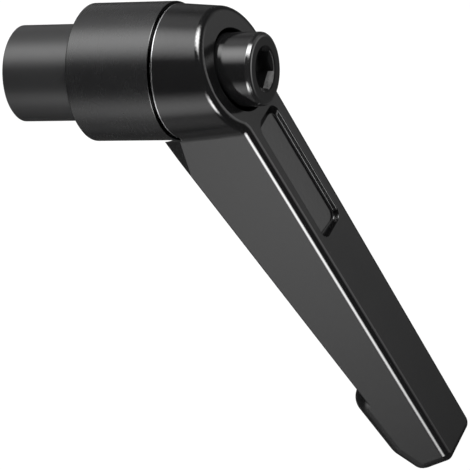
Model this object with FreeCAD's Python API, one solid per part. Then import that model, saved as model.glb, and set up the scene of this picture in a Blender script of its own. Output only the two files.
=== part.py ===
import FreeCAD, Part
import math
import os

# Adjustable clamping lever with a female thread, reaching almost 105 from its axis.
# It is built from four pieces: a turned steel insert that screws onto the
# machine's stud, a die-cast handle that meshes with the insert through fine
# serrations, a shoulder screw that keeps the handle on, and a compression spring
# under the screw's head. Lifting the handle against the spring frees the
# serrations, so that the arm can be turned to a new position.
# Frame: millimetres, +Z up along the clamping axis, +X along the arm, and the
# origin at the middle of the insert's lower face.

V = FreeCAD.Vector

# Insert, one turned piece of steel
BOSS_D = 21.1
BOSS_H = 17.8
COLLAR_D = 30.0
COLLAR_H = 20.05
NECK_H = 2.8
TURNED_CHAMFER = 0.3
COLLAR_EDGE_R = 0.4
EDGE_CHORD_COUNT = 3

# Thread in the boss, bored to its nominal size
THREAD_D = 12.0
THREAD_DEPTH = 20.0
THREAD_CHAMFER = 0.4
DRILL_POINT_ANGLE = 118.0

# Serrations between the insert's neck and the handle
TEETH = 36
TOOTH_TIP_D = 22.4
TOOTH_HEIGHT = 0.8
TOOTH_CLEARANCE = 0.15

# Retaining screw
SCREW_HEAD_D = 16.0
SCREW_HEAD_H = 9.4
SCREW_HEAD_EDGE_R = 1.1
HEAD_EDGE_CHORD_COUNT = 4
SCREW_HEAD_RISE = 6.2
SOCKET_AF = 8.0
SOCKET_DEPTH = 5.2
SOCKET_CHAMFER = 0.45
SOCKET_TURN = 111.0
SHOULDER_D = 12.0
SCREW_THREAD_D = 10.0
SCREW_THREAD_L = 12.0
SCREW_POINT_CHAMFER = 0.8
SCREW_HOLE_SPARE = 1.4

# Clearances of the assembly
SCREW_FIT = 0.05
SHOULDER_CLEARANCE = 0.3
HEAD_CLEARANCE = 0.8
NECK_TOP_CLEARANCE = 0.2
COLLAR_CLEARANCE = 0.35

# Spring
WIRE_D = 0.8
SPRING_GAP = 0.55
SPRING_TURNS = 3.0
SPRING_CLOSED_TURNS = 0.75
CHORDS_PER_TURN = 16
WIRE_SIDES = 6

# Handle, the hub
HUB_SETBACK = 0.45
HUB_DRAFT = 4.4
HUB_H = 14.3
HUB_LOWER_EDGE_R = 0.5
WEB_THICKNESS = 1.8
TOP_TILT = 15.0
TOP_EDGE_R = 1.7
HOLE_CHAMFER = 0.25

# Handle, the arm
LEVER_LENGTH = 104.9
ARM_W_ROOT = 17.9
ARM_W_TIP = 14.6
ARM_BLEND_R = 3.0
UNDER_START = 22.8
UNDER_TILT = 22.05
UNDER_EDGE_R = 0.5
ROOT_DROP = 6.0
ROOT_DRAFT = 8.0
END_LEAN = 22.9
END_EDGE_R = 2.2

# Handle, the finger knob under the tip
TIP_DROP = 10.9
KNOB_LENGTH = 23.5
KNOB_DEPTH = 4.8
KNOB_TILT = 22.7
KNOB_BEVEL = 46.0
KNOB_REAR_R = 4.6
KNOB_CORNER_R = 5.0
KNOB_EDGE_R = 4.3

# Handle, the shallow panel let into the top of the arm
PANEL_START = 11.4
PANEL_END = 41.6
PANEL_W = 9.5
PANEL_DEPTH = 1.2
PANEL_DRAFT = 12.0
PANEL_RAMP = 50.0
PANEL_LEAN = 4.0
PANEL_RIM_R = 0.3
PANEL_HUB_R = 2.6
PANEL_END_R = 2.0
PANEL_FLOOR_R = 0.35

# Handle, the core taken out of the arm's underside
CORE_START = 21.5
CORE_KNOB_WALL = 4.9
CORE_WALL = 2.9
CORE_ROOF = 4.2
CORE_CORNER_R = 3.0
CORE_ROOF_CHAMFER = 1.4

# Heights and places that follow from the sizes above
SEAM_Z = BOSS_H + COLLAR_H
NECK_TOP_Z = SEAM_Z + NECK_H
WEB_LOW_Z = NECK_TOP_Z + NECK_TOP_CLEARANCE
WEB_TOP_Z = WEB_LOW_Z + WEB_THICKNESS
HUB_TOP_Z = SEAM_Z + HUB_H
HEAD_TOP_Z = HUB_TOP_Z + SCREW_HEAD_RISE
HEAD_LOW_Z = HEAD_TOP_Z - SCREW_HEAD_H
COUNTERBORE_R = SCREW_HEAD_D / 2 + HEAD_CLEARANCE
COLLAR_BORE_R = COLLAR_D / 2 + COLLAR_CLEARANCE
HUB_D = COLLAR_D - 2 * HUB_SETBACK
KNOB_START = LEVER_LENGTH - KNOB_LENGTH
CORE_END = KNOB_START - CORE_KNOB_WALL


def tan(degrees):
    return math.tan(math.radians(degrees))


def top_z(x):
    """Height of the handle's sloping top plane above the point x on the arm's centre line."""
    return HUB_TOP_Z + x * tan(TOP_TILT)


def under_z(x):
    """Height of the arm's underside, which leaves the hub's lower plane at UNDER_START."""
    return SEAM_Z + (x - UNDER_START) * tan(UNDER_TILT)


def half_width(x):
    """Half the arm's width, which narrows evenly from the clamping axis to the tip."""
    return (ARM_W_ROOT + (ARM_W_TIP - ARM_W_ROOT) * x / LEVER_LENGTH) / 2


def tip_corner():
    """Outermost corner of the tip, where the leaning end face meets the bevel under it."""
    return V(LEVER_LENGTH, 0, top_z(LEVER_LENGTH) - TIP_DROP)


def rounded_wire(corners):
    """Closed wire through 3-D corners (vector, radius); a radius above 0 puts an arc there."""
    starts, arcs, ends = [], [], []
    count = len(corners)
    for i, (here, radius) in enumerate(corners):
        to_before = (corners[i - 1][0] - here).normalize()
        to_after = (corners[(i + 1) % count][0] - here).normalize()
        if radius <= 0:
            starts.append(here)
            ends.append(here)
            arcs.append(None)
            continue
        half_turn = to_before.getAngle(to_after) / 2
        reach = radius / math.tan(half_turn)
        middle = (to_before + to_after).normalize()
        centre = here + middle * (radius / math.sin(half_turn))
        starts.append(here + to_before * reach)
        ends.append(here + to_after * reach)
        arcs.append(Part.Arc(starts[-1], centre - middle * radius, ends[-1]).toShape())
    edges = []
    for i in range(count):
        if arcs[i]:
            edges.append(arcs[i])
        edges.append(Part.LineSegment(ends[i], starts[(i + 1) % count]).toShape())
    return Part.Wire(edges)


def side_prism(outline):
    """Prism across the whole handle from a side view outline of (x, z, corner radius)."""
    reach = COLLAR_D
    corners = [(V(x, -reach, z), radius) for x, z, radius in outline]
    return Part.Face(rounded_wire(corners)).extrude(V(0, 2 * reach, 0))


def plan_prism(outline, low, high):
    """Upright prism between two heights from a plan outline of (x, y, corner radius)."""
    corners = [(V(x, y, low), radius) for x, y, radius in outline]
    return Part.Face(rounded_wire(corners)).extrude(V(0, 0, high - low))


def turned(profile):
    """Solid of revolution about Z from a closed profile of (radius, height)."""
    points = [V(r, 0, z) for r, z in profile]
    face = Part.Face(Part.makePolygon(points + points[:1]))
    return face.revolve(V(0, 0, 0), V(0, 0, 1), 360)


def round_over(corner_r, corner_z, radius, chords, up=1):
    """Profile points of a rounded edge, from the side to the face, in a few turned chords."""
    points = []
    for step in range(chords + 1):
        angle = math.pi / 2 * step / chords
        points.append((corner_r - radius * (1 - math.cos(angle)),
                       corner_z - up * radius * (1 - math.sin(angle))))
    return points


def edges_at(shape, points):
    """Edges of a shape that pass through any of the given points."""
    spots = [Part.Vertex(point) for point in points]
    return [edge for edge in shape.Edges if any(edge.distToShape(spot)[0] < 2e-3 for spot in spots)]


def serration(growth, low, high):
    """Toothed prism: triangular teeth on a circle, every radius larger by growth."""
    tip = TOOTH_TIP_D / 2 + growth
    root = tip - TOOTH_HEIGHT
    points = []
    for step in range(2 * TEETH):
        radius = tip if step % 2 == 0 else root
        angle = math.pi * step / TEETH
        points.append(V(radius * math.cos(angle), radius * math.sin(angle), low))
    face = Part.Face(Part.makePolygon(points + points[:1]))
    return face.extrude(V(0, 0, high - low))


def make_insert():
    """Boss, collar and serrated neck in one piece, tapped from both ends."""
    boss_r, collar_r, c = BOSS_D / 2, COLLAR_D / 2, TURNED_CHAMFER
    body = turned([(0, 0), (boss_r - c, 0), (boss_r, c), (boss_r, BOSS_H),
                   (collar_r - c, BOSS_H), (collar_r, BOSS_H + c)]
                  + round_over(collar_r, SEAM_Z, COLLAR_EDGE_R, EDGE_CHORD_COUNT) + [(0, SEAM_Z)])
    body = body.fuse(serration(0, SEAM_Z - NECK_H, NECK_TOP_Z)).removeSplitter()
    thread_r = THREAD_D / 2
    mouth_r = thread_r + THREAD_CHAMFER
    point_h = thread_r / tan(DRILL_POINT_ANGLE / 2)
    body = body.cut(turned([(0, 0), (mouth_r, 0), (thread_r, THREAD_CHAMFER),
                            (thread_r, THREAD_DEPTH), (0, THREAD_DEPTH + point_h)]))
    screw_r = SCREW_THREAD_D / 2 + SCREW_FIT
    floor_z = NECK_TOP_Z - SCREW_THREAD_L - SCREW_HOLE_SPARE
    return body.cut(turned([(0, floor_z), (screw_r, floor_z), (screw_r, NECK_TOP_Z), (0, NECK_TOP_Z)]))


def make_screw():
    """Shoulder screw: the shoulder stands on the neck, and the head holds the spring down."""
    head_r, shoulder_r, thread_r = SCREW_HEAD_D / 2, SHOULDER_D / 2, SCREW_THREAD_D / 2
    c = SCREW_POINT_CHAMFER
    point_z = NECK_TOP_Z - SCREW_THREAD_L
    body = turned([(0, point_z), (thread_r - c, point_z), (thread_r, point_z + c),
                   (thread_r, NECK_TOP_Z), (shoulder_r, NECK_TOP_Z), (shoulder_r, HEAD_LOW_Z),
                   (head_r, HEAD_LOW_Z)]
                  + round_over(head_r, HEAD_TOP_Z, SCREW_HEAD_EDGE_R, HEAD_EDGE_CHORD_COUNT)
                  + [(0, HEAD_TOP_Z)])
    corner_r = SOCKET_AF / 2 / math.cos(math.pi / 6)
    angles = [math.radians(SOCKET_TURN + 60 * k) for k in range(6)]
    floor_z = HEAD_TOP_Z - SOCKET_DEPTH
    points = [V(corner_r * math.cos(a), corner_r * math.sin(a), floor_z) for a in angles]
    hexagon = Part.Face(Part.makePolygon(points + points[:1]))
    socket = hexagon.extrude(V(0, 0, SOCKET_DEPTH))
    mouth_r = corner_r + SOCKET_CHAMFER
    countersink = turned([(0, HEAD_TOP_Z - mouth_r), (mouth_r, HEAD_TOP_Z), (0, HEAD_TOP_Z)])
    return body.cut(socket).cut(countersink)


def make_spring():
    """Compression spring with closed, flattened ends between the web and the screw's head."""
    free_r = SHOULDER_D / 2 + SPRING_GAP + WIRE_D / 2
    low = WEB_TOP_Z + WIRE_D / 4
    high = HEAD_LOW_Z - WIRE_D / 4
    closed_rise = SPRING_CLOSED_TURNS * WIRE_D
    open_turns = SPRING_TURNS - 2 * SPRING_CLOSED_TURNS
    steps = int(round(SPRING_TURNS * CHORDS_PER_TURN))
    sections = []
    for step in range(steps + 1):
        turn = SPRING_TURNS * step / steps
        share = min(max((turn - SPRING_CLOSED_TURNS) / open_turns, 0), 1)
        smooth = share * share * (3 - 2 * share)
        closed = min(turn, SPRING_CLOSED_TURNS) + max(turn - SPRING_TURNS + SPRING_CLOSED_TURNS, 0)
        z = low + closed * WIRE_D + (high - low - 2 * closed_rise) * smooth
        sections.append(wire_section(2 * math.pi * turn, free_r, z))
    coil = Part.makeLoft(sections, True, True)
    room = Part.makeCylinder(free_r + WIRE_D, HEAD_LOW_Z - WEB_TOP_Z, V(0, 0, WEB_TOP_Z))
    return coil.common(room)


def wire_section(angle, radius, z):
    """The spring wire's section, in short chords, in the upright plane at an angle about Z."""
    points = []
    for side in range(WIRE_SIDES):
        around = 2 * math.pi * (side + 0.5) / WIRE_SIDES
        out = radius + WIRE_D / 2 * math.cos(around)
        points.append(V(out * math.cos(angle), out * math.sin(angle), z + WIRE_D / 2 * math.sin(around)))
    return Part.makePolygon(points + points[:1])


def hub_and_arm():
    """Drafted hub and tapering arm, joined by upright blends and cut to the side view."""
    low = SEAM_Z - ROOT_DROP
    far = LEVER_LENGTH + ARM_W_TIP
    high = top_z(far)
    hub = Part.makeCone(HUB_D / 2 + ROOT_DROP * tan(HUB_DRAFT),
                        HUB_D / 2 - (high - SEAM_Z) * tan(HUB_DRAFT), high - low, V(0, 0, low))
    blank = hub.fuse(arm_plan(0, far, low, high)).removeSplitter()
    corners = [e for e in blank.Edges if not isinstance(e.Curve, (Part.Line, Part.Circle))]
    blank = blank.makeFillet(ARM_BLEND_R, corners)
    back = -HUB_D
    root_x = UNDER_START - ROOT_DROP / tan(UNDER_TILT)
    inside_knob = KNOB_START + 2 * KNOB_EDGE_R
    outline = [(back, low, 0), (root_x, low, 0), (inside_knob, under_z(inside_knob), 0),
               (inside_knob, top_z(inside_knob), 0), (back, top_z(back), 0)]
    blank = blank.common(side_prism(outline))
    middle = (UNDER_START + KNOB_START) / 2
    lower = [V(middle, side * half_width(middle), under_z(middle)) for side in (-1, 1)]
    blank = blank.makeFillet(UNDER_EDGE_R, edges_at(blank, lower))
    return blank.cut(below_seam())


def arm_plan(near, far, low, high):
    """Upright prism with the arm's tapering plan between two distances and two heights."""
    outline = [(near, -half_width(near), 0), (far, -half_width(far), 0),
               (far, half_width(far), 0), (near, half_width(near), 0)]
    return plan_prism(outline, low, high)


def below_seam():
    """What is taken off under the hub's lower plane: the collar's room, and draft on the root."""
    room = Part.makeCylinder(COLLAR_BORE_R, SEAM_Z, V(0, 0, 0))
    rounded = round_over(HUB_D / 2, SEAM_Z, HUB_LOWER_EDGE_R, EDGE_CHORD_COUNT, -1)
    outside = [(COLLAR_BORE_R, SEAM_Z), (COLLAR_BORE_R, SEAM_Z + HUB_LOWER_EDGE_R)]
    shape = room.fuse(turned(rounded + outside))
    reach = LEVER_LENGTH
    for side in (-1, 1):
        w, out = side * half_width(0), side * HUB_D
        slant = side * ROOT_DROP * tan(ROOT_DRAFT)
        points = [V(0, w, SEAM_Z), V(0, w + out, SEAM_Z), V(0, w + out, SEAM_Z - ROOT_DROP),
                  V(0, w - slant, SEAM_Z - ROOT_DROP)]
        face = Part.Face(Part.makePolygon(points + points[:1]))
        shape = shape.fuse(face.extrude(V(reach, side * (half_width(reach) - half_width(0)), 0)))
    return shape


def top_end():
    """Distance from the axis at which the top plane meets the leaning end face."""
    slope = tan(END_LEAN)
    return LEVER_LENGTH - TIP_DROP * slope / (1 + tan(TOP_TILT) * slope)


def finger_knob():
    """Deeper end of the arm under the finger, with broadly rounded lower edges."""
    down = V(math.sin(math.radians(UNDER_TILT)), 0, -math.cos(math.radians(UNDER_TILT)))
    rear = V(KNOB_START, 0, under_z(KNOB_START)) + down * KNOB_DEPTH
    tip = tip_corner()
    lower, bevel = tan(KNOB_TILT), tan(KNOB_BEVEL)
    corner_x = (tip.z - rear.z + lower * rear.x - bevel * tip.x) / (lower - bevel)
    corner = V(corner_x, 0, rear.z + lower * (corner_x - rear.x))
    wall = rear - down * ((top_z(rear.x) - rear.z) / (down.x * tan(TOP_TILT) - down.z))
    outline = [(wall.x, wall.z, 0), (rear.x, rear.z, KNOB_REAR_R), (corner.x, corner.z, KNOB_CORNER_R),
               (tip.x, tip.z, 0), (top_end(), top_z(top_end()), 0)]
    plan = arm_plan(0, LEVER_LENGTH + ARM_W_TIP, SEAM_Z - ROOT_DROP, top_z(LEVER_LENGTH))
    knob = side_prism(outline).common(plan)
    middle = (rear + corner) * 0.5
    lower_edges = [V(middle.x, side * half_width(middle.x), middle.z) for side in (-1, 1)]
    return knob.makeFillet(KNOB_EDGE_R, edges_at(knob, lower_edges))


def plane_face(shape, normal, point):
    """Largest flat face of a shape that lies in the plane through point with the given normal."""
    found = []
    for face in shape.Faces:
        if isinstance(face.Surface, Part.Plane) and abs(abs(face.Surface.Axis.dot(normal)) - 1) < 1e-6:
            if abs((face.CenterOfMass - point).dot(normal)) < 1e-4:
                found.append(face)
    return max(found, key=lambda face: face.Area)


def top_normal():
    """Upward normal of the handle's sloping top plane."""
    tilt = math.radians(TOP_TILT)
    return V(-math.sin(tilt), 0, math.cos(tilt))


def on_top_plane(shape):
    """Carry a shape drawn on the XY plane, X outwards, to the handle's sloping top plane."""
    shape.rotate(V(0, 0, 0), V(0, 1, 0), -TOP_TILT)
    shape.translate(V(0, 0, HUB_TOP_Z))
    return shape


def casting():
    """Outer form of the handle: hub, arm and knob in one, with its rounded edges."""
    body = hub_and_arm().fuse(finger_knob()).removeSplitter()
    lean = math.radians(END_LEAN)
    end_normal = V(math.cos(lean), 0, math.sin(lean))
    end = plane_face(body, end_normal, tip_corner())
    level = HUB_TOP_Z * top_normal().z
    ring = [e for e in end.Edges if abs(e.CenterOfMass.dot(top_normal()) - level) > 1e-3]
    body = body.makeFillet(END_EDGE_R, ring)
    top = plane_face(body, top_normal(), V(0, 0, HUB_TOP_Z))
    return body.makeFillet(TOP_EDGE_R, top.OuterWire.Edges)


def panel():
    """Shallow recess let into the top of the arm. Its walls are drafted, its corners rounded,
    its end at the hub is a ramp, and its floor leans a little across the arm."""
    slope = math.cos(math.radians(TOP_TILT))
    near, far = PANEL_START / slope, PANEL_END / slope
    wires = []
    for depth in (-PANEL_DEPTH, 2 * PANEL_DEPTH):
        side = PANEL_W / 2 - depth * tan(PANEL_DRAFT)
        start = near + depth * tan(PANEL_RAMP)
        end = far - depth * tan(PANEL_DRAFT)
        corners = [(V(start, -side, -depth), PANEL_HUB_R), (V(end, -side, -depth), PANEL_END_R),
                   (V(end, side, -depth), PANEL_END_R), (V(start, side, -depth), PANEL_HUB_R)]
        wires.append(rounded_wire(corners))
    over_floor = Part.makeBox(2 * far, 2 * PANEL_W, 4 * PANEL_DEPTH, V(-far, -PANEL_W, -PANEL_DEPTH))
    low_line = V(0, PANEL_W / 2, -PANEL_DEPTH)
    over_floor.rotate(low_line, V(1, 0, 0), PANEL_LEAN)
    shape = Part.makeLoft(wires, True, True).common(over_floor)
    lean = math.radians(PANEL_LEAN)
    floor = plane_face(shape, V(0, -math.sin(lean), math.cos(lean)), low_line)
    return on_top_plane(shape.makeFillet(PANEL_FLOOR_R, floor.Edges))


def core():
    """Core that hollows the arm from below to an even wall, square to the top plane."""
    near, far = CORE_START, CORE_END
    side_near, side_far = half_width(near) - CORE_WALL, half_width(far) - CORE_WALL
    outline = [(near, -side_near, CORE_CORNER_R), (far, -side_far, CORE_CORNER_R),
               (far, side_far, CORE_CORNER_R), (near, side_near, CORE_CORNER_R)]
    shape = plan_prism(outline, 0, top_z(LEVER_LENGTH))
    roof_z = HUB_TOP_Z - CORE_ROOF / top_normal().z
    roof = [(x, roof_z + x * tan(TOP_TILT), 0) for x in (0, LEVER_LENGTH)]
    shape = shape.common(side_prism([(0, 0, 0), (LEVER_LENGTH, 0, 0)] + roof[::-1]))
    face = plane_face(shape, top_normal(), V(0, 0, roof_z))
    return shape.makeChamfer(CORE_ROOF_CHAMFER, face.Edges)


def make_handle():
    """One die casting: hub, arm and knob, bored and serrated for the insert and its screw."""
    bore = Part.makeCylinder(COUNTERBORE_R, top_z(HUB_D), V(0, 0, WEB_TOP_Z))
    web_hole = Part.makeCylinder(SHOULDER_D / 2 + SHOULDER_CLEARANCE, WEB_TOP_Z, V(0, 0, SEAM_Z))
    body = casting().cut(bore).cut(web_hole)
    top = plane_face(body, top_normal(), V(0, 0, HUB_TOP_Z))
    rim = [e for wire in top.Wires for e in wire.Edges if not wire.isSame(top.OuterWire)]
    body = body.makeChamfer(HOLE_CHAMFER, rim)
    body = body.cut(panel())
    top = plane_face(body, top_normal(), V(0, 0, HUB_TOP_Z))
    rim = [e for wire in top.Wires for e in wire.Edges if wire.BoundBox.XMin > COUNTERBORE_R]
    body = body.makeFillet(PANEL_RIM_R, rim)
    return body.cut(serration(TOOTH_CLEARANCE, SEAM_Z, WEB_LOW_Z)).cut(core())


def main():
    os.makedirs("parts", exist_ok=True)
    pieces = {
        "handle": make_handle(),
        "insert": make_insert(),
        "retaining_screw": make_screw(),
        "spring": make_spring(),
    }
    for name, shape in pieces.items():
        shape.exportStep("parts/" + name + ".step")
        print(name, len(shape.Solids), "solid", round(shape.Volume), "cubic mm", shape.isValid())


main()
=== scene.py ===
import math

import bpy
import numpy as np
from mathutils import Matrix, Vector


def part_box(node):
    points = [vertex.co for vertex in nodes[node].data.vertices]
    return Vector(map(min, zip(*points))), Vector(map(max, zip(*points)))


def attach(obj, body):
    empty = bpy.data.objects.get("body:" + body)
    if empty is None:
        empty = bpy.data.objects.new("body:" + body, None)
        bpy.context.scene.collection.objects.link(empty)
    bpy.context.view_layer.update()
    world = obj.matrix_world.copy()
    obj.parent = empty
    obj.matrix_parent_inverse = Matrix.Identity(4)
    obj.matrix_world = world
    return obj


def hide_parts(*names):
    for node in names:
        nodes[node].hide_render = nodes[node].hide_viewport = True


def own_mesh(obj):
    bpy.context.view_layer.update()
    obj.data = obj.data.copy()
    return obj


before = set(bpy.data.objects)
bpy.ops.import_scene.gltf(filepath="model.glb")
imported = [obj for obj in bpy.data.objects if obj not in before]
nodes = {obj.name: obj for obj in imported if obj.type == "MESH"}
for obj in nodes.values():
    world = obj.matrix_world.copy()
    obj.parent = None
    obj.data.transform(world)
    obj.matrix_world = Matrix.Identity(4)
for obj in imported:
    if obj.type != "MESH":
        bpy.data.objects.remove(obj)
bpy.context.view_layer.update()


# Insert: one turned piece of steel, blackened in an oxide bath and lightly oiled.
# The lathe tool has left fine rings under the black. The boss is duller than the
# collar, and the joint with the handle is painted black as painted shade.

BOSS_HEIGHT = 17.8
JOINT_SHADE_LOW, JOINT_SHADE_HIGH, JOINT_SHADE_LEAST_R = 37.58, 38.0, 14.2
BOSS_BLACK = (0.009, 0.009, 0.0093)
SOCKET_LIT_GREY = (0.045, 0.045, 0.045)
NO_LIGHT = (0.0, 0.0, 0.0)
MM_PER_METRE = 1000.0


class Value:
    """One output of a node tree: sums, products and the like on it add Math nodes."""

    def __init__(self, finish, socket):
        self.finish, self.socket = finish, socket

    def other(self, output):
        """Another output of the same node."""
        return Value(self.finish, self.socket.node.outputs[output])

    def math(self, operation, *others):
        slots = {f"slot_{k}": value for k, value in enumerate((self, *others))}
        return self.finish.node("Math", {"operation": operation}, **slots)

    def __add__(self, other):
        return self.math("ADD", other)

    def __mul__(self, other):
        return self.math("MULTIPLY", other)

    def __sub__(self, other):
        return self.math("SUBTRACT", other)

    def __rsub__(self, other):
        return (self * -1) + other

    def __pow__(self, other):
        return self.math("POWER", other)

    __radd__ = __add__
    __rmul__ = __mul__


class Finish:
    """The nodes of a material, a lamp or the room, which are added by name."""

    def __init__(self, owner):
        self.owner = owner
        owner.use_nodes = True
        self.tree = owner.node_tree
        self.tree.nodes.clear()

    def feed(self, slot, value):
        """Links a value to the slot, or sets a number or colour on it."""
        if isinstance(value, Value):
            self.tree.links.new(value.socket, slot)
        else:
            slot.default_value = (*value, 1) if slot.type == "RGBA" else value

    def node(self, kind, settings=(), output=0, **inputs):
        """Adds a node of a kind. Its settings come first, then the values or links of its
        sockets, whose names have _ for a blank; slot_2 is the third socket."""
        node = self.tree.nodes.new("ShaderNode" + kind)
        for name, value in dict(settings).items():
            setattr(node, name, value)
        for name, value in inputs.items():
            key = int(name[5:]) if name.startswith("slot_") else name.replace("_", " ")
            self.feed(node.inputs[key], value)
        return Value(self, node.outputs[output]) if node.outputs else None

    def output(self, shader, kind="Material"):
        """Shows the shader and gives back what the nodes belong to."""
        self.node("Output" + kind, Surface=shader)
        return self.owner

    def place(self):
        """The point on the piece in millimetres, in the frame of the whole object."""
        here = self.node("TexCoord", output="Object")
        return self.node("VectorMath", {"operation": "SCALE"}, Vector=here, Scale=MM_PER_METRE)

    def parts(self, where):
        """The three coordinates of a point."""
        split = self.node("SeparateXYZ", Vector=where)
        return [split.other(k) for k in range(3)]

    def blur(self, where, size, detail=2.0, rough=0.5):
        """Cloudy noise from 0 to 1 whose lumps are about size millimetres across."""
        return self.node("TexNoise", Vector=where, Scale=1.0 / size, Detail=detail,
                         Roughness=rough)

    def vary(self, noise, amount):
        """Noise about 0, by half the amount to either side."""
        return (noise - 0.5) * amount

    def shade(self, mask, dark, light):
        """Colour that goes from dark to light with the mask."""
        return self.node("Mix", {"data_type": "RGBA"}, output=2,
                         slot_0=mask, slot_6=dark, slot_7=light)

    def ramp(self, value, low, high):
        """0 at low, 1 at high and a straight line between them."""
        return self.node("MapRange", {"clamp": True}, Value=value, From_Min=low, From_Max=high)

    def above(self, value, limit, soft):
        """1 above the limit and 0 below it, with a soft border to either side."""
        return self.ramp(value, limit - soft, limit + soft)

    def below(self, value, limit, soft):
        """1 below the limit and 0 above it, with a soft border to either side."""
        return self.ramp(value, limit + soft, limit - soft)


def turned_steel(name, dark, light, rough, ring_size, ring_depth, dull_below=None,
                 joint_shade_ring=None, polished_rim=None, lit_walls=None):
    """Blackened steel off the lathe. Rings: noise read at the point (distance from the Z
    axis, height, a hundredth of x), so that it changes across the tool's feed and hardly at
    all round the piece. Blotches of the bath and fine specks vary the colour, blotches and
    rings the gloss. Below a height the finish is duller. A ring of painted shade, between two
    heights and outside a radius, is black and mirrors nothing. A polished rim, above a height
    and outside a radius, has a second gloss on top. Where the socket mask is 1, the wall is
    painted a lighter grey as painted light. Heights, radii and the size and depth of the rings
    are in millimetres."""
    steel = Finish(bpy.data.materials.new(name))
    here = steel.place()
    x, y, z = steel.parts(here)
    radius = (x * x + y * y) ** 0.5
    across = steel.node("CombineXYZ", X=radius, Y=z, Z=x * 0.01)
    rings = steel.blur(across, ring_size, detail=3.0, rough=0.6)
    blotch = steel.blur(here, size=5.0, detail=3.0, rough=0.55)
    speck = steel.blur(here, size=0.35, rough=0.6)
    colour = steel.shade(blotch * 0.7 + speck * 0.3, dark, light)
    gloss = steel.vary(blotch, 0.06) + steel.vary(rings, 0.03) + rough
    painted_joint_shade = polish = 0.0
    if dull_below:
        dull = steel.below(z, dull_below, soft=0.1)
        colour = steel.shade(dull, colour, BOSS_BLACK)
        gloss = gloss + dull * 0.05
    if polished_rim:
        low, least = polished_rim
        polish = steel.above(z, low, soft=0.1) * steel.above(radius, least, soft=0.1)
    # Painted light: the socket walls turn a lighter grey where the mask is 1.
    if lit_walls:
        patches = steel.above(blotch + speck, 0.825, soft=0.175)
        wall_light = lit_walls(steel, x, y, z, radius) * patches
        colour = steel.shade(wall_light, colour, SOCKET_LIT_GREY)
        gloss = gloss + wall_light * 0.5
    # Painted shade: a black ring at the joint with the handle, which mirrors nothing.
    if joint_shade_ring:
        low, high, least = joint_shade_ring
        painted_joint_shade = steel.above(z, low, soft=0.03) * steel.below(z, high, soft=0.03)
        painted_joint_shade = painted_joint_shade * steel.above(radius, least, soft=0.05)
        colour = steel.shade(painted_joint_shade, colour, NO_LIGHT)
    bump = steel.node("Bump", Height=rings * 0.8 + speck * 0.2, Strength=1.0,
                      Distance=ring_depth / MM_PER_METRE)
    return steel.output(steel.node("BsdfPrincipled", Base_Color=colour, Roughness=gloss,
                                   Normal=bump, Metallic=painted_joint_shade, IOR=1.6,
                                   Specular_IOR_Level=0.5, Coat_Weight=polish,
                                   Coat_Roughness=0.14, Coat_IOR=1.9))


def dress(node, material):
    """The CAD node shows the material on every face."""
    node.data.materials.clear()
    node.data.materials.append(material)


insert_steel = turned_steel("black_oxide_turned", dark=(0.0035, 0.0035, 0.0037),
                            light=(0.007, 0.007, 0.0073), rough=0.27,
                            ring_size=0.22, ring_depth=0.0005, dull_below=BOSS_HEIGHT,
                            joint_shade_ring=(JOINT_SHADE_LOW, JOINT_SHADE_HIGH, JOINT_SHADE_LEAST_R))
dress(nodes["insert"], insert_steel)


# Female thread in the insert's boss, M12 coarse: a ridge that winds up the bore.
# It is cut by a tap in the same steel, so it is the boss's own metal that stands
# inwards from the nominal bore, and it runs out into the countersunk mouth.

THREAD_R, THREAD_PITCH = 0.0060, 0.00175
THREAD_LOW, THREAD_HIGH = 0.0009, 0.0195
RIDGE_HEIGHT, FOOT_DEPTH = 0.00093, 0.00005
RUN_OUT_TURNS, LEAST_HEIGHT, LEAST_WIDTH = 0.5, 0.02, 0.3
CREST_OR_FOOT = (0, 0, 1, 1, 0, 0)
SHARE_OF_PITCH = (-0.46, -0.44, -0.12, 0.12, 0.44, 0.46)


def surface(name, points, material, tube=True):
    """Mesh from a grid of points. The columns of a tube close round it and its two ends are
    capped, and a flat grid stays open."""
    rows, columns = points.shape[:2]
    i, j = np.meshgrid(np.arange(rows - 1), np.arange(columns if tube else columns - 1),
                       indexing="ij")
    row, next_row = (i * columns).ravel(), ((i + 1) * columns).ravel()
    column, next_column = j.ravel(), (j.ravel() + 1) % columns
    faces = np.stack([row + column, next_row + column, next_row + next_column,
                      row + next_column], 1).tolist()
    if tube:
        first = list(range(columns))
        faces += [first, [(rows - 1) * columns + k for k in reversed(first)]]
    mesh = bpy.data.meshes.new(name)
    mesh.from_pydata(points.reshape(-1, 3).tolist(), [], faces)
    mesh.polygons.foreach_set("use_smooth", np.ones(len(mesh.polygons), bool))
    mesh.update()
    mesh.materials.append(material)
    piece = bpy.data.objects.new(name, mesh)
    bpy.context.scene.collection.objects.link(piece)
    return piece


def thread_ridge(turn_steps=48):
    """Helix of the pitch at the bore's radius. The section is a 60 degree ridge with a flat
    crest, whose foot is sunk in the wall. Over the first and last half turn, where the tap
    runs in and out, its height shrinks to nearly nothing and its width to a third."""
    turns = (THREAD_HIGH - THREAD_LOW) / THREAD_PITCH - 1
    t = np.linspace(0, turns, int(turns * turn_steps) + 1)[:, None]
    height = np.clip(np.minimum(t, turns - t) / RUN_OUT_TURNS, LEAST_HEIGHT, 1)
    width = LEAST_WIDTH + (1 - LEAST_WIDTH) * height
    radius = THREAD_R - np.array(CREST_OR_FOOT) * RIDGE_HEIGHT * height
    radius[:, [0, -1]] += FOOT_DEPTH
    angle = 2 * np.pi * t
    z = THREAD_LOW + THREAD_PITCH * (t + 0.5 + np.array(SHARE_OF_PITCH) * width)
    return np.stack([radius * np.cos(angle), radius * np.sin(angle), z], -1)


ridge = surface("thread_ridge", thread_ridge(), insert_steel)
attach(ridge, "insert")


# Retaining screw: a shoulder screw with a socket head, blackened and oiled, so it
# is smoother and glossier than the insert. The shoulder stands on the insert's
# neck, and the head holds the spring down in the hub.

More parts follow.
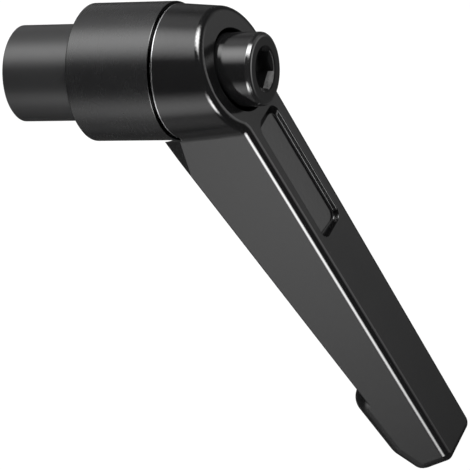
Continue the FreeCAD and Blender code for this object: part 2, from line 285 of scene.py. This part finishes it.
RIM_LOW, RIM_LEAST_R = 57.2, 6.9
# Painted light in the socket: a lit patch on one wall and a highlight on the next wall's edge,
# in a lighter grey.
LIT_SIDES = ((21, 56.7), (81, 58.0))
COSINE_OF_HALF_SIDE = 0.865
SOCKET_MOUTH_R = 4.8


def socket_light_mark(steel, x, y, z, radius):
    """1 where light is painted on the hexagon's walls: a lit patch painted on one wall and a
    highlight painted along the edge of the next. Each side is told by its azimuth, 30 degrees
    to either side of which it ends, and by the height down to which it is painted: deep on the
    first, and on its edge alone on the second."""
    mark = 0.0
    for azimuth, low in LIT_SIDES:
        way = math.radians(azimuth)
        towards = (x * math.cos(way) + y * math.sin(way)) * radius ** -1
        side = steel.above(towards, COSINE_OF_HALF_SIDE, soft=0.005)
        mark = side * steel.above(z, low, soft=0.1) + mark
    return mark * steel.below(radius, SOCKET_MOUTH_R, soft=0.05)


screw_steel = turned_steel("black_oxide_oiled", dark=(0.0022, 0.0022, 0.0023),
                           light=(0.0046, 0.0046, 0.0048), rough=0.13,
                           ring_size=0.16, ring_depth=0.0010,
                           polished_rim=(RIM_LOW, RIM_LEAST_R), lit_walls=socket_light_mark)
dress(nodes["retaining_screw"], screw_steel)


# Spring: three turns of drawn steel wire, its ends closed and ground flat, coiled
# loosely round the screw's shoulder. It stands on the hub's web and pushes up
# against the head, and flattens towards the head when the handle is lifted.

spring_low, spring_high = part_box("spring")
WIRE_R = 0.0004
COIL_R = spring_high.x - WIRE_R
TURNS, CLOSED_TURNS = 3.0, 0.75


def spring_coil(round_steps=14, turn_steps=60):
    """Circle of the wire's radius carried along the coil. The coil rises one wire for each
    turn at its two ends and smoothly over the rest between them, and its first and last
    wires are cut level with the two seats."""
    t = np.linspace(0, TURNS, int(TURNS * turn_steps) + 1)[:, None]
    around = np.linspace(0, 2 * np.pi, round_steps, endpoint=False)
    low, high = spring_low.z + WIRE_R / 2, spring_high.z - WIRE_R / 2
    wire = 2 * WIRE_R
    share = np.clip((t - CLOSED_TURNS) / (TURNS - 2 * CLOSED_TURNS), 0, 1)
    smooth = share * share * (3 - 2 * share)
    closed = np.minimum(t, CLOSED_TURNS) + np.maximum(t - TURNS + CLOSED_TURNS, 0)
    rise = closed * wire + (high - low - 2 * CLOSED_TURNS * wire) * smooth
    radius = COIL_R + WIRE_R * np.cos(around)
    z = np.clip(low + rise + WIRE_R * np.sin(around), spring_low.z, spring_high.z)
    angle = 2 * np.pi * t
    return np.stack([radius * np.cos(angle), radius * np.sin(angle), z], -1)


def drawn_wire():
    """Bare spring wire: grey metal whose colour and gloss vary with stains of oil and fine
    streaks, which also stand out of it by a few thousandths of a millimetre."""
    wire = Finish(bpy.data.materials.new("spring_wire_drawn"))
    here = wire.place()
    streak = wire.blur(here, size=0.12, rough=0.6)
    stain = wire.blur(here, size=2.0)
    colour = wire.shade(stain * 0.6 + streak * 0.4, (0.28, 0.28, 0.29), (0.50, 0.50, 0.51))
    bump = wire.node("Bump", Height=streak, Strength=1.0, Distance=0.004 / MM_PER_METRE)
    return wire.output(wire.node("BsdfPrincipled", Base_Color=colour, Metallic=1.0,
                                 Roughness=stain * 0.16 + 0.22, Normal=bump))


coil = surface("spring_coil", spring_coil(), drawn_wire())
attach(coil, "spring")
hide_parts("spring")
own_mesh(coil)


# Handle: hub, arm and finger knob in one zinc die casting, with black powder paint
# baked on. The paint is satin and flows into a faint orange peel. Round the hub's
# lower rim, which turns on the collar, it is rubbed through to the bright zinc.

BARE_LOW, BARE_HIGH, RIM_SHADE_TOP = 38.10, 38.38, 38.08
RIM_IN_R, RIM_OUT_R = 14.2, 15.1
TOP_HEIGHT, TOP_TILT = 52.15, 15.0
WALL_TOP, WALL_FOOT = 0.06, 1.235
PANEL_START, PANEL_HALF_WIDTH = 10.0, 5.1
BRIGHT_ZINC = (0.66, 0.66, 0.67)


def powder_coat():
    """Black paint: lumps of orange peel under a millimetre across bend its normal, and a
    cloud and a grit vary its gloss and its black. The bare ring is 1 between two heights and
    two radii at the hub's lower rim, and its upper border wanders with the grit. Under it
    a black band is painted shade at the joint and mirrors nothing. The walls of the panel are
    told by their depth under the top plane, which rises from its height at the axis by its
    tilt. They mirror less than half as much, painted shade in the recess, and are a little
    rougher. Heights, radii and depths are in millimetres."""
    paint = Finish(bpy.data.materials.new("powder_coat_black"))
    here = paint.place()
    peel = paint.blur(here, size=0.9)
    grit = paint.blur(here, size=0.22, detail=1.0)
    cloud = paint.blur(here, size=9.0, detail=3.0, rough=0.6)
    x, y, z = paint.parts(here)
    radius = (x * x + y * y) ** 0.5
    rim = paint.above(radius, RIM_IN_R, soft=0.05) * paint.below(radius, RIM_OUT_R, soft=0.05)
    worn_to = paint.below(z + paint.vary(grit, 0.25), BARE_HIGH, soft=0.04)
    bare = rim * paint.above(z, BARE_LOW, soft=0.02) * worn_to
    # Painted shade: a black band under the bare ring, at the joint with the collar.
    rim_shade = rim * paint.below(z, RIM_SHADE_TOP, soft=0.02)
    depth = x * math.tan(math.radians(TOP_TILT)) + TOP_HEIGHT - z
    # Painted shade in the recess: the panel's walls mirror less than half as much.
    walls = paint.above(depth, WALL_TOP, soft=0.04) * paint.below(depth, WALL_FOOT, soft=0.035)
    walls = walls * paint.above(x, PANEL_START, soft=0.5)
    walls = walls * paint.below(y * y, PANEL_HALF_WIDTH ** 2, soft=0.5)
    black = paint.shade(cloud * 0.7 + grit * 0.3,
                        (0.0022, 0.0022, 0.0023), (0.0046, 0.0046, 0.0048))
    colour = paint.shade(rim_shade, paint.shade(bare, black, BRIGHT_ZINC), NO_LIGHT)
    gloss = paint.vary(cloud, 0.05) + paint.vary(grit, 0.04) + walls * 0.1 + 0.13
    bump = paint.node("Bump", Height=peel * 0.9 + grit * 0.1, Strength=1.0,
                      Distance=0.009 / MM_PER_METRE)
    return paint.output(paint.node("BsdfPrincipled", Base_Color=colour, Roughness=gloss,
                                   Normal=bump, Metallic=bare + rim_shade + walls * 0.6,
                                   IOR=1.6, Specular_IOR_Level=0.5))


dress(nodes["handle"], powder_coat())


# Floor: a pale board that the boss stands on, white to the camera with a trace of the
# object's soft shadow. It casts none, so that the low lamps shine up through it, and
# gloss rays pass it, because the photo's black surfaces mirror a dark studio.

BOARD_HALF, BOARD_Z = 6.0, -0.00002
WHITE_SHARE = 0.9
SHARE_MADE_UP = 1.09


def seen_behind(finish):
    """1 for what the camera sees behind the object, or through something clear."""
    rays = finish.node("LightPath")
    return rays.other("Is Camera Ray").math("MAXIMUM", rays.other("Is Transmission Ray"))


def pale_board():
    """Pale grey board. What is seen behind the object gets white mixed over it, a little
    stronger than 1 to make up for its share, so that a tenth of the shadow stays."""
    board = Finish(bpy.data.materials.new("pale_board"))
    grain = board.blur(board.place(), size=3.0)
    colour = board.shade(grain, (0.66, 0.66, 0.66), (0.70, 0.70, 0.70))
    plain = board.node("BsdfPrincipled", Base_Color=colour, Roughness=1.0,
                       Specular_IOR_Level=0.0)
    white = board.node("Emission", Color=(1, 1, 1), Strength=SHARE_MADE_UP)
    return board.output(board.node("MixShader", slot_0=seen_behind(board) * WHITE_SHARE,
                                   slot_1=plain, slot_2=white))


def flat_square(steps=9):
    """Grid of points from -half to half both ways, just under the boss's lower face."""
    side = np.linspace(-BOARD_HALF, BOARD_HALF, steps)
    x, y = np.meshgrid(side, side, indexing="ij")
    return np.stack([x, y, np.full_like(x, BOARD_Z)], -1)


floor = surface("floor", flat_square(), pale_board(), tube=False)
floor.visible_glossy = False
floor.visible_shadow = False


# Light: soft boxes half a metre from the object, and a dim room that is white only
# behind it. The boxes on the left and in front make the light bands and the white
# lines on the rounded edges, and those behind and above light the arm's top.

BOX_DISTANCE = 0.5
BOX_CENTRE = (0.03, 0.0, 0.04)
ROOM_LIGHT = 0.06

# Azimuth and elevation in degrees, width and height in metres, brightness
SOFT_BOXES = {
    "left_high": (177, 15, 0.46, 0.54, 25.0),
    "left_level": (189, -25, 0.58, 0.38, 3.8),
    "left_wide": (162, -26, 0.80, 0.42, 0.75),
    "front_high": (290, 14, 0.42, 0.46, 20.0),
    "front_level": (296, -21, 0.50, 0.36, 1.3),
    "front_wide": (322, -25, 0.80, 0.40, 0.28),
    "over": (84, 66, 0.50, 0.36, 1.2),
    "behind_upper": (82, 52, 0.60, 0.18, 0.75),
    "behind_high": (86, 38, 0.64, 0.34, 0.34),
    "side_left": (112, -38, 0.50, 0.42, 0.35),
}


def stand(thing, right, up, back, spot):
    """Puts a lamp or the camera on its spot, where it looks away from back."""
    rows = np.column_stack([right, up, back, spot]).tolist()
    thing.matrix_world = Matrix([*rows, [0, 0, 0, 1]])
    bpy.context.scene.collection.objects.link(thing)


def soft_box(name, azimuth, elevation, wide, high, brightness):
    """Rectangular lamp that faces the centre. It is brightest in its middle and fades to
    nothing at its border: brightness x (16 u (1 - u) v (1 - v)) squared, where u and v go
    from 0 to 1 across and along it. Its power is brightness x pi x area."""
    az, el = math.radians(azimuth), math.radians(elevation)
    out = np.array([math.cos(el) * math.cos(az), math.cos(el) * math.sin(az), math.sin(el)])
    side = np.array([-math.sin(az), math.cos(az), 0.0])
    lamp = bpy.data.lights.new(name, "AREA")
    lamp.shape = "RECTANGLE"
    lamp.size, lamp.size_y = wide, high
    lamp.energy = brightness * math.pi * wide * high
    glow = Finish(lamp)
    u, v, _ = glow.parts(glow.node("NewGeometry", output="Parametric"))
    fade = (u * (1 - u) * v * (1 - v) * 16) ** 2
    glow.output(glow.node("Emission", Color=fade, Strength=1.0), "Light")
    box = bpy.data.objects.new(name, lamp)
    box.visible_camera = False
    stand(box, side, np.cross(out, side), out, np.array(BOX_CENTRE) + out * BOX_DISTANCE)


for name, numbers in SOFT_BOXES.items():
    soft_box(name, *numbers)

world = bpy.data.worlds.new("room")
bpy.context.scene.world = world
room = Finish(world)
dim = room.node("Background", Color=(1, 1, 1), Strength=ROOM_LIGHT)
white = room.node("Background", Color=(1, 1, 1), Strength=1.0)
room.output(room.node("MixShader", slot_0=seen_behind(room), slot_1=dim, slot_2=white), "World")


# Camera: a long lens that looks down on the clamping axis from the front left,
# rolled so that the axis lies across the picture and the arm runs down to the right.

RIGHT = (0.2536188, 0.3528819, 0.9006397)
DOWN = (0.8102630, -0.5860647, 0.0014586)
FORWARD = (0.5283478, 0.7293851, -0.4345641)
EYE = (-0.427149, -0.649985, 0.426070)
SENSOR_WIDTH, LENS = 36.0, 309.225
NEAREST_SEEN = 0.05

camera = bpy.data.objects.new("camera", bpy.data.cameras.new("camera"))
camera.data.sensor_width = SENSOR_WIDTH
camera.data.lens = LENS
camera.data.clip_start = NEAREST_SEEN
stand(camera, RIGHT, -np.array(DOWN), -np.array(FORWARD), EYE)
bpy.context.scene.camera = camera
bpy.context.scene.view_settings.view_transform = "Standard"
